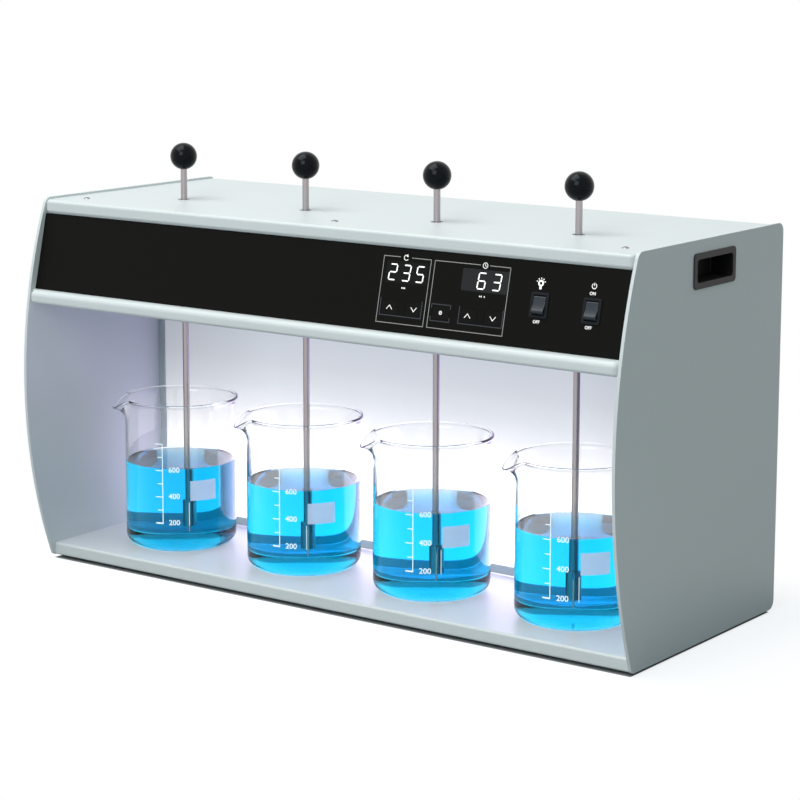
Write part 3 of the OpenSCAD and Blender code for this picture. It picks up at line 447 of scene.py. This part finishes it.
def lettering(text, height, x, s, boldness):
    """Triangles of plain figures or capitals, centred on x with their foot at s."""
    curve = bpy.data.curves.new("lettering", "FONT")
    curve.body = text
    curve.resolution_u = 3
    curve.offset = boldness
    holder = bpy.data.objects.new("lettering", curve)
    mesh = bpy.data.meshes.new_from_object(holder)
    bpy.data.objects.remove(holder)
    corners = [v.co for v in mesh.vertices]
    left = min(c.x for c in corners)
    right = max(c.x for c in corners)
    top = max(c.y for c in corners)
    scale = height / top
    spots = [(x + (c.x - (left + right) / 2) * scale, s + c.y * scale) for c in corners]
    faces = [[spots[i] for i in p.vertices] for p in mesh.polygons]
    bpy.data.meshes.remove(mesh)
    return faces


# Which bars of a seven-bar figure are lit: top, two upper, middle, two lower, bottom
BARS = {"2": "1011101", "3": "1011011", "5": "1101011", "6": "1101111"}
FIGURE_W, FIGURE_H, BAR_W, BAR_GAP, SLANT = 8.2, 14.2, 1.1, 0.3, 0.08


def figure(digit, x, s):
    """Pointed bars of one slanted figure, its foot at the left corner x, s."""
    w, h = FIGURE_W - BAR_W, (FIGURE_H - BAR_W) / 2
    corner = BAR_W / 2
    ends = {
        0: ((0, 2 * h), (w, 2 * h)), 1: ((0, h), (0, 2 * h)), 2: ((w, h), (w, 2 * h)),
        3: ((0, h), (w, h)), 4: ((0, 0), (0, h)), 5: ((w, 0), (w, h)), 6: ((0, 0), (w, 0)),
    }
    shapes = []
    for k, (a, b) in ends.items():
        if BARS[digit][k] == "0":
            continue
        a, b = Vector(a), Vector(b)
        along = (b - a).normalized()
        side = Vector((-along.y, along.x)) * BAR_W / 2
        a, b = a + along * BAR_GAP, b - along * BAR_GAP
        tip = along * BAR_W / 2
        outline = [a, a + tip - side, b - tip - side, b, b - tip + side, a + tip + side]
        shapes.append([(x + corner + p.x + SLANT * p.y, s + corner + p.y) for p in outline])
    return shapes


# The white ink is also given a faint glow of its own: painted light, since ink is no lamp.
ink_white_painted_glow = finish(
    "white_ink_painted_glow", (0.86, 0.86, 0.84), 0.5, 2000, 0.000004, mottle=0.1,
    Emission_Color=(1, 1, 0.98, 1), Emission_Strength=0.35)
ink_grey = finish("grey_ink", (0.34, 0.34, 0.32), 0.5, 2000, 0.000004, mottle=0.2)
ink_blue = finish("blue_ink", (0.014, 0.018, 0.030), 0.4, 2000, 0.000004, mottle=0.2)
INK_LIFT = 0.00004

FRAME_FOOT, FRAME_TOP = 7.3, 63.4
frames = []
for x0, x1, gap0, gap1 in ((76, 124.5, 93, 104.6), (128.5, 203.7, 174.3, 183.2)):
    round_group = [
        (gap0, FRAME_TOP), (x0, FRAME_TOP), (x0, FRAME_FOOT), (x1, FRAME_FOOT), (x1, FRAME_TOP),
        (gap1, FRAME_TOP),
    ]
    frames += stroke(round_group, 0.6)
printed("group_frames", frames, on_fascia, "cabinet", "fascia_black", ink_grey, INK_LIFT)

# A turning arrow over the speed, a clock over the time, a lamp and a power sign over the switches
signs = stroke(ring(98.8, 63.2, 2.2, 60, 270), 0.6)
signs += [[(98.6, 64.2), (100.9, 63.9), (100.0, 66.3)]]
signs += stroke(ring(178.8, 63.2, 2.3), 0.55, closed=True)
signs += stroke([(178.8, 64.7), (178.8, 63.2), (180.0, 62.6)], 0.5)
LAMP_X, LAMP_S = 234.4, 53.6
signs += stroke(ring(LAMP_X, LAMP_S, 2.0), 1.5, closed=True)
signs += [rectangle(LAMP_X - 1.1, LAMP_S - 5, LAMP_X + 1.1, LAMP_S - 2)]
for k in range(5):
    a = radians(20 + 35 * k)
    beam = [(LAMP_X + r * cos(a), LAMP_S + r * sin(a)) for r in (3.3, 4.6)]
    signs += stroke(beam, 0.8)
signs += stroke(ring(284.5, 55.6, 2.1, 120, 300), 0.6)
signs += stroke([(284.5, 55.8), (284.5, 58.4)], 0.6)
signs += lettering("ON", 2.6, 283.8, 48.4, 0.02) + lettering("OFF", 2.6, 283.8, 20.9, 0.02)
signs += lettering("OFF", 2.6, 234.6, 20.9, 0.02)
for x in (98.2, 99.6, 101.0, 177.0, 178.6, 181.6):
    signs += [rectangle(x - 0.45, 36.9, x + 0.45, 38.2)]
printed("fascia_signs", signs, on_fascia, "cabinet", "fascia_black", ink_white_painted_glow, INK_LIFT)

# Open brackets under the pairs of keys, and two facing ones round the single key
boxes = []
for x0, x1 in ((78.4, 121.0), (158.9, 202.0)):
    boxes += stroke([(x0, 28), (x0, 13.6), (x1, 13.6), (x1, 28)], 0.9)
for foot, way in ((13.4, 1), (27.4, -1)):
    end = foot + way * 3.5
    boxes += stroke([(130.9, end), (130.9, foot), (149.9, foot), (149.9, end)], 0.9)
printed("key_frames", boxes, on_fascia, "cabinet", "fascia_black", ink_blue, INK_LIFT)

ARROW_W, ARROW_H, ARROW_S = 5.8, 3.5, 20.5
for node, x, way in (
    ("key_speed_up", 88, 1), ("key_speed_down", 113, -1),
    ("key_time_up", 167.5, 1), ("key_time_down", 192.5, -1),
):
    foot, tip = ARROW_S - way * ARROW_H / 2, ARROW_S + way * ARROW_H / 2
    arrow = stroke([(x - ARROW_W / 2, foot), (x, tip), (x + ARROW_W / 2, foot)], 0.62)
    printed(node + "_arrow", arrow, on_fascia, BODIES[node], "fascia_black", ink_white_painted_glow, INK_LIFT)
dot = stroke(ring(140.5, ARROW_S, 1.3), 0.6, closed=True) + [ring(140.5, ARROW_S, 0.5, steps=10)]
printed("key_set_mark", dot, on_fascia, BODIES["key_set"], "fascia_black", ink_white_painted_glow, INK_LIFT)

# ---------- Displays ----------
# Two smoked acrylic windows are bonded into the fascia, nearly flush with it. Behind each, a
# seven-bar display of light-emitting diodes shows white figures, the speed and the time.
smoked = finish(
    "smoked_window", (0.024, 0.024, 0.025), 0.16, 1500, 0.000002, mottle=0.1,
    Specular_IOR_Level=0.1)
dark_window = finish(
    "dark_window", (0.009, 0.009, 0.009), 0.2, 1500, 0.000002, mottle=0.1,
    Specular_IOR_Level=0.08)
dress("time_display", smoked)
dress("speed_display", dark_window)
lit = finish(
    "lit_bar", (0.8, 0.8, 0.78), 0.5, 900, 0.000002, Emission_Color=(1, 1, 0.98, 1),
    Emission_Strength=0.75)
WINDOW_INSET, BAR_LIFT, FIGURE_FOOT = 0.0002, 0.00002, 43.2
for name, digits, start, pitch in (("speed", "235", 82.2, 14.0), ("time", "63", 172.4, 15.0)):
    bars = []
    for k, digit in enumerate(digits):
        bars += figure(digit, start + k * pitch, FIGURE_FOOT)
    printed(
        name + "_figures", bars, on_fascia, "cabinet", "display_window", lit,
        BAR_LIFT - WINDOW_INSET)

# ---------- Rocker switches ----------
# Each is a black moulded nylon body, snapped into the fascia by its bezel. A semi-gloss rocker is
# pivoted in it, with its upper end pressed.
rocker_gloss = finish(
    "rocker_gloss", (0.020, 0.028, 0.036), 0.3, 1500, 0.000006, mottle=0.2, Specular_IOR_Level=0.35)
bezel_black = finish(
    "bezel_black", (0.009, 0.012, 0.015), 0.42, 1400, 0.00001, mottle=0.1, Specular_IOR_Level=0.12)
for node in ("light_switch", "power_switch"):
    eased(node, 0.0005, bezel_black)
for node in ("light_rocker", "power_rocker"):
    eased(node, 0.0006, rocker_gloss, steps=3)

# ---------- Rear ----------
# The mains inlet is a black moulding with three flat pins in its mouth. It is screwed in low on
# the rear panel.
eased("mains_inlet", 0.0004, moulding)

# ---------- Panel screws ----------
# Zinc pan-head screws with a cross recess hold the cover and the rear panel. One node tree
# makes a head with its recess and sets a copy on each point, facing out of the panel.
SCREW_R, SCREW_H, SCREW_SLOT = 0.00325, 0.0013, 0.0009
# How far under the cover's top the rear row of its screws lies, and the heights of the others
RIM_DROP, REAR_HEIGHTS = 0.007, (0.027, 0.175, 0.311)
tree = bpy.data.node_groups.new("screw_heads", "GeometryNodeTree")
tree.interface.new_socket(name="Points", in_out="INPUT", socket_type="NodeSocketGeometry")
SCREW_INPUTS = {}
for name, kind in (("Width", "Float"), ("Height", "Float"), ("Slot", "Float"),
                   ("Facing", "Vector"), ("Finish", "Material")):
    SCREW_INPUTS[name] = tree.interface.new_socket(
        name=name, in_out="INPUT", socket_type="NodeSocket" + kind).identifier
tree.interface.new_socket(name="Heads", in_out="OUTPUT", socket_type="NodeSocketGeometry")
given = tree.nodes.new("NodeGroupInput").outputs
dome = linked(tree, "GeometryNodeMeshUVSphere", segments=24, rings=12, radius=0.5)
sizes = linked(tree, "ShaderNodeCombineXYZ", x=given["Width"], y=given["Width"], z=given["Height"])
doubled = worked(tree, "VectorMath", "MULTIPLY", sizes.outputs[0], (1, 1, 2))
head = linked(tree, "GeometryNodeTransform", geometry=dome.outputs[0], scale=doubled)
cut = linked(tree, "GeometryNodeMeshBoolean")
cut.operation = "DIFFERENCE"
tree.links.new(head.outputs[0], cut.inputs[0])
for long_x in (True, False):
    long_side = worked(tree, "Math", "MULTIPLY", given["Width"], 0.6)
    spread = linked(tree, "ShaderNodeCombineXYZ", z=given["Height"])
    tree.links.new(long_side, spread.inputs[0 if long_x else 1])
    tree.links.new(given["Slot"], spread.inputs[1 if long_x else 0])
    bar = linked(tree, "GeometryNodeMeshCube", size=spread.outputs[0])
    lift = linked(tree, "ShaderNodeCombineXYZ", z=given["Height"])
    raised = linked(
        tree, "GeometryNodeTransform", geometry=bar.outputs[0], translation=lift.outputs[0])
    tree.links.new(raised.outputs[0], cut.inputs[1])
facing = linked(tree, "FunctionNodeAlignRotationToVector", axis="Z", vector=given["Facing"])
copies = linked(tree, "GeometryNodeInstanceOnPoints", points=given["Points"])
tree.links.new(cut.outputs[0], copies.inputs["Instance"])
tree.links.new(facing.outputs[0], copies.inputs["Rotation"])
solid = linked(tree, "GeometryNodeRealizeInstances", geometry=copies.outputs[0])
coated = linked(
    tree, "GeometryNodeSetMaterial", geometry=solid.outputs[0], material=given["Finish"])
tree.links.new(coated.outputs[0], tree.nodes.new("NodeGroupOutput").inputs[0])


def screw_heads(points, facing):
    """Screw heads on points, as a plain mesh."""
    mesh = bpy.data.meshes.new("screw_points")
    mesh.from_pydata(points, [], [])
    holder = bpy.data.objects.new("screw_points", mesh)
    scene.collection.objects.link(holder)
    modifier = holder.modifiers.new("heads", "NODES")
    modifier.node_group = bpy.data.node_groups["screw_heads"]
    for name, value in (
        ("Width", 2 * SCREW_R), ("Height", SCREW_H), ("Slot", SCREW_SLOT), ("Facing", facing),
        ("Finish", zinc_painted_dark),
    ):
        modifier[SCREW_INPUTS[name]] = value
    evaluated = holder.evaluated_get(bpy.context.evaluated_depsgraph_get())
    made = bpy.data.meshes.new_from_object(evaluated)
    bpy.data.objects.remove(holder)
    return made


low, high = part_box("panel_screws")
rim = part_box("top_cover")[1]
screw_x = high.x - SCREW_R
screw_y = low.y + SCREW_R
top = [(x, screw_y, rim.z) for x in (-screw_x, 0, screw_x)]
rear = [(x, rim.y, rim.z - RIM_DROP) for x in (-screw_x, 0, screw_x)]
rear += [(x, rim.y, z) for x in (-screw_x, screw_x) for z in REAR_HEIGHTS]
heads = bmesh.new()
for points, way in ((top, (0, 0, 1)), (rear, (0, 1, 0))):
    heads.from_mesh(screw_heads(points, way))
screws = bpy.data.meshes.new("screws")
heads.to_mesh(screws)
heads.free()
# The screws take the darkened zinc: painted shade for their recesses.
place_piece("screws", screws, "cabinet", "zinc_steel", zinc_painted_dark, "panel_screws")

# ---------- Stirrers ----------
# Ground stainless rods slide through blackened spindles; a polished black ball knob is pressed
# on each rod's top, and a flat stainless paddle is fixed to its foot.
# The stainless carries a faint mauve cast in its base colour: painted reflection of the lavender
# backlight in the bay.
stainless = finish(
    "ground_stainless", (0.42, 0.385, 0.395), 0.3, 1600, 0.000003, stretch=(1, 1, 0.02),
    Metallic=1.0)
blackened = finish("blackened_steel", (0.03, 0.03, 0.032), 0.35, 1500, 0.000004, Metallic=1.0)
phenolic = finish(
    "phenolic_black", (0.0015, 0.002, 0.0025), 0.16, 900, 0.000001, mottle=0.1, spread=0.02,
    Specular_IOR_Level=0.25, Specular_Tint=(0.4, 0.45, 0.5, 1))
for n in range(1, 5):
    dress(f"spindle_{n}", blackened)
    dress(f"pulley_{n}", machined)
    eased(f"rod_{n}", 0.0004, stainless)
    eased(f"paddle_{n}", 0.0003, stainless)
    eased(f"knob_{n}", 0.0005, phenolic)

# ---------- Beakers ----------
# Blown borosilicate, one piece: a pushed-up floor, a wide heel, a straight wall and a beaded rim
# drawn out into a drooping pouring spout. The graduations are fired white enamel.
GLASS_R, GLASS_H, GLASS_T = 0.0525, 0.142, 0.002
FLOOR_T, HEEL_R, PUSH_UP = 0.0035, 0.011, 0.0008
FLARE, BEAD_R = 0.0025, 0.0013
SEAT = 0.0003
SPOUT_REACH, SPOUT_DROP, SPOUT_H = 0.010, 0.0105, 0.024
SPOUT_HALF, SPOUT_DIR = radians(26), radians(223)
PRINT_DIRS = (292, 283.5, 287, 278)
# Level of the water, how far it climbs at the wall, and how far it is drawn into the glass
WATER_H, MENISCUS, WETTING = 0.081, 0.0009, 0.0005


def glass_material(name, ior):
    """Clear glass or water, which bends light by its own amount."""
    material = bpy.data.materials.new(name)
    material.use_nodes = True
    shader = material.node_tree.nodes["Principled BSDF"]
    shader.inputs["Base Color"].default_value = (1, 1, 1, 1)
    shader.inputs["Roughness"].default_value = 0
    shader.inputs["IOR"].default_value = ior
    shader.inputs["Transmission Weight"].default_value = 1
    return material


def quarter(x, z, radius, start, steps=8):
    """Points of a quarter turn about x, z."""
    turns = [radians(start + 90 * k / steps) for k in range(steps + 1)]
    return [(x + radius * cos(a), z + radius * sin(a)) for a in turns]


def spouted(radius, z, turn):
    """A point of the wall, drawn out and down where the spout is."""
    across = abs((turn - SPOUT_DIR + pi) % (2 * pi) - pi) / SPOUT_HALF
    share = cos(pi / 2 * across) ** 2 if across < 1 else 0
    up = min(max((z - GLASS_H + SPOUT_H) / SPOUT_H, 0), 1)
    radius += SPOUT_REACH * share * up ** 3
    return radius * cos(turn), radius * sin(turn), z - SPOUT_DROP * share * up


def revolved(name, profile, turns, centre, shape):
    """A closed skin from a profile of radius and height that starts and ends on the axis."""
    form = bmesh.new()
    rings = []
    for radius, z in profile:
        if radius == 0:
            rings.append([form.verts.new(centre + Vector((0, 0, z)))])
        else:
            rings.append([form.verts.new(centre + Vector(shape(radius, z, a))) for a in turns])
    count = len(turns)
    for lower, upper in zip(rings, rings[1:]):
        for k in range(count):
            n = (k + 1) % count
            corners = [
                lower[k % len(lower)], lower[n % len(lower)],
                upper[n % len(upper)], upper[k % len(upper)],
            ]
            form.faces.new(dict.fromkeys(corners))
    bmesh.ops.recalc_face_normals(form, faces=form.faces)
    mesh = bpy.data.meshes.new(name)
    form.to_mesh(mesh)
    form.free()
    mesh.shade_smooth()
    mesh.set_sharp_from_angle(angle=SMOOTH_BELOW)
    return mesh


inner = GLASS_R - GLASS_T
wall_heights = [0.02, 0.045, WATER_H + MENISCUS, 0.095]
wall_heights += [GLASS_H - SPOUT_H * (1 - k / 7) for k in range(6)]
neck = GLASS_H - 0.0045
outside = [(0, PUSH_UP + SEAT), (0.02, 0.8 * PUSH_UP + SEAT), (0.036, 0.4 * PUSH_UP + SEAT)]
outside += quarter(GLASS_R - HEEL_R, HEEL_R + SEAT, HEEL_R, 270)
outside += [(GLASS_R, z) for z in wall_heights]
outside += [(GLASS_R + 0.0004, neck), (GLASS_R + 0.0013, neck + 0.0015)]
bead_r, bead_z = GLASS_R + FLARE - BEAD_R, GLASS_H - BEAD_R
bead = [
    (bead_r + BEAD_R * cos(radians(a)), bead_z + BEAD_R * sin(radians(a)))
    for a in range(-20, 201, 22)
]
inside = [(inner + 0.0009, neck + 0.0008), (inner + 0.0003, neck - 0.0005)]
inside += [(inner, z) for z in reversed(wall_heights)]
inside += quarter(inner - HEEL_R + GLASS_T, FLOOR_T + HEEL_R - GLASS_T, HEEL_R - GLASS_T, 270)[::-1]
inside += [(0.02, FLOOR_T), (0, FLOOR_T)]
spout_turns = [SPOUT_DIR + SPOUT_HALF * (k / 18 - 1) for k in range(36)]
wall_turns = [SPOUT_DIR + SPOUT_HALF + (2 * pi - 2 * SPOUT_HALF) * k / 96 for k in range(96)]

clear_glass = glass_material("borosilicate", 1.47)
# The faces carry how much they mirror: nothing where water wets them, less where it stands behind
WETTED, BACKED = 0, 0.35
tree = clear_glass.node_tree
mirroring = linked(tree, "ShaderNodeAttribute", attribute_name="mirroring")
tree.links.new(
    mirroring.outputs["Fac"], tree.nodes["Principled BSDF"].inputs["Specular Tint"])
# The white enamel of the graduations is given a pale blue glow: painted light, since enamel is no
# lamp.
enamel_painted_glow = finish(
    "white_enamel_painted_glow", (0.80, 0.84, 0.86), 0.5, 2500, 0.000005, Emission_Color=(0.8, 0.95, 1, 1),
    Emission_Strength=0.45)
# The writing patch is given a soft blue glow: painted light, since the patch is no lamp.
frosted_painted_glow = finish(
    "enamel_patch_painted_glow", (0.55, 0.65, 0.8), 0.6, 2500, 0.000005, Alpha=0.68,
    Emission_Color=(0.45, 0.62, 0.8, 1), Emission_Strength=0.28)
tray_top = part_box("base_tray")[1].z
centres = []
for n in range(1, 5):
    low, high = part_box(f"beaker_{n}")
    centres.append(Vector(((low.x + high.x) / 2, (low.y + high.y) / 2, tray_top)))


def on_glass(centre, turn):
    """How to lay u, v round a beaker: u along the wall from the given turn, v up it."""
    def spot(u, v, out):
        a = turn + u / GLASS_R
        return centre + Vector(((GLASS_R + out) * cos(a), (GLASS_R + out) * sin(a), v))
    return spot


def divided(points, pitch):
    """Points of a straight line, close enough together to follow the wall."""
    a, b = (Vector(p) for p in points)
    count = max(1, ceil((b - a).length / pitch))
    return [tuple(a.lerp(b, k / count)) for k in range(count + 1)]


MARK_PITCH, MARK_FOOT = 12.6, 29.6
# Of the writing patch: where it starts, the width and the number of its strips, its foot and top
PATCH_X, STRIP_W, STRIPS, PATCH_FOOT, PATCH_TOP = 26, 2, 13, 51, 70
LEEWAY = 0.0002
for n, centre in enumerate(centres, 1):
    glass = revolved(
        f"glass_{n}", outside + bead + inside, spout_turns + wall_turns, centre, spouted)
    mirrored = glass.attributes.new("mirroring", "FLOAT", "FACE")
    for face in glass.polygons:
        at = face.center - centre
        within = hypot(at.x, at.y) < inner + LEEWAY and FLOOR_T - LEEWAY < at.z
        below = at.z < WATER_H + MENISCUS
        mirrored.data[face.index].value = 1 if not below else WETTED if within else BACKED
    beaker = place_piece(
        f"glass_{n}", glass, f"jar_{n}", "beaker_glass", clear_glass, f"beaker_{n}")
    beaker.visible_shadow = False
    spot = on_glass(centre, radians(PRINT_DIRS[n - 1]))
    marks = stroke([(0, MARK_FOOT), (0, MARK_FOOT + 6 * MARK_PITCH)], 0.8)
    for k in range(7):
        z = MARK_FOOT + k * MARK_PITCH
        length = 7 if k % 2 == 0 else 5
        marks += stroke(divided([(0.4, z), (-length, z)], 2), 1.3 if k == 0 else 0.8)
    for k, value in enumerate(("200", "400", "600", "800")):
        marks += lettering(value, 5.0, 11.0, MARK_FOOT + 2 * k * MARK_PITCH - 1.4, 0.012)
    marks += stroke([(24.9, MARK_FOOT - 2), (24.9, MARK_FOOT + 20)], 0.5)
    printed(f"graduation_{n}", marks, spot, f"jar_{n}", "beaker_glass", enamel_painted_glow, 0.00003)
    patch = []
    for k in range(STRIPS):
        x = PATCH_X + k * STRIP_W
        patch.append(rectangle(x, PATCH_FOOT, x + STRIP_W, PATCH_TOP))
    printed(f"writing_patch_{n}", patch, spot, f"jar_{n}", "beaker_glass", frosted_painted_glow, 0.00003)

# ---------- Water ----------
# The test water is dyed blue. It wets the glass, so it climbs a little at the wall, and it is
# drawn a touch into the glass, so that light meets no air between the two.
wet = inner + WETTING
wet_heel = HEEL_R - GLASS_T
water_profile = [(0, FLOOR_T - WETTING), (0.02, FLOOR_T - WETTING)]
water_profile += quarter(wet - wet_heel, FLOOR_T - WETTING + wet_heel, wet_heel, 270)
water_profile += [(wet, 0.03), (wet, 0.055), (wet, WATER_H + MENISCUS)]
water_profile += [
    (inner - d, WATER_H + MENISCUS * rise)
    for d, rise in ((0.0002, 0.85), (0.0008, 0.5), (0.0018, 0.22), (0.0034, 0.06), (0.006, 0))
]
water_profile += [(0.02, WATER_H), (0, WATER_H)]
water = glass_material("dyed_water", 1.333)
tree = water.node_tree
absorb = linked(
    tree, "ShaderNodeVolumeAbsorption", color=(0.0, 0.825, 0.94, 1), density=50.0)
tree.links.new(absorb.outputs[0], tree.nodes["Material Output"].inputs["Volume"])
# Only the open top mirrors, from just under its level up
TOP_STARTS, TOP_FULL = 0.0006, 0.0004
where = linked(tree, "ShaderNodeTexCoord").outputs["Object"]
height = linked(tree, "ShaderNodeSeparateXYZ", vector=where).outputs[2]
level = tray_top + WATER_H
open_top = linked(
    tree, "ShaderNodeMapRange", value=height, from_min=level - TOP_STARTS,
    from_max=level - TOP_FULL)
tree.links.new(open_top.outputs[0], tree.nodes["Principled BSDF"].inputs["Specular Tint"])


def round_shape(radius, z, turn):
    """A point of a plain round body."""
    return radius * cos(turn), radius * sin(turn), z


WATER_SIDES = 128
turns = [2 * pi * k / WATER_SIDES for k in range(WATER_SIDES)]
for n, centre in enumerate(centres, 1):
    body = revolved(f"water_{n}", water_profile, turns, centre, round_shape)
    place_piece(f"water_{n}", body, f"jar_{n}", "test_liquid", water).visible_shadow = False
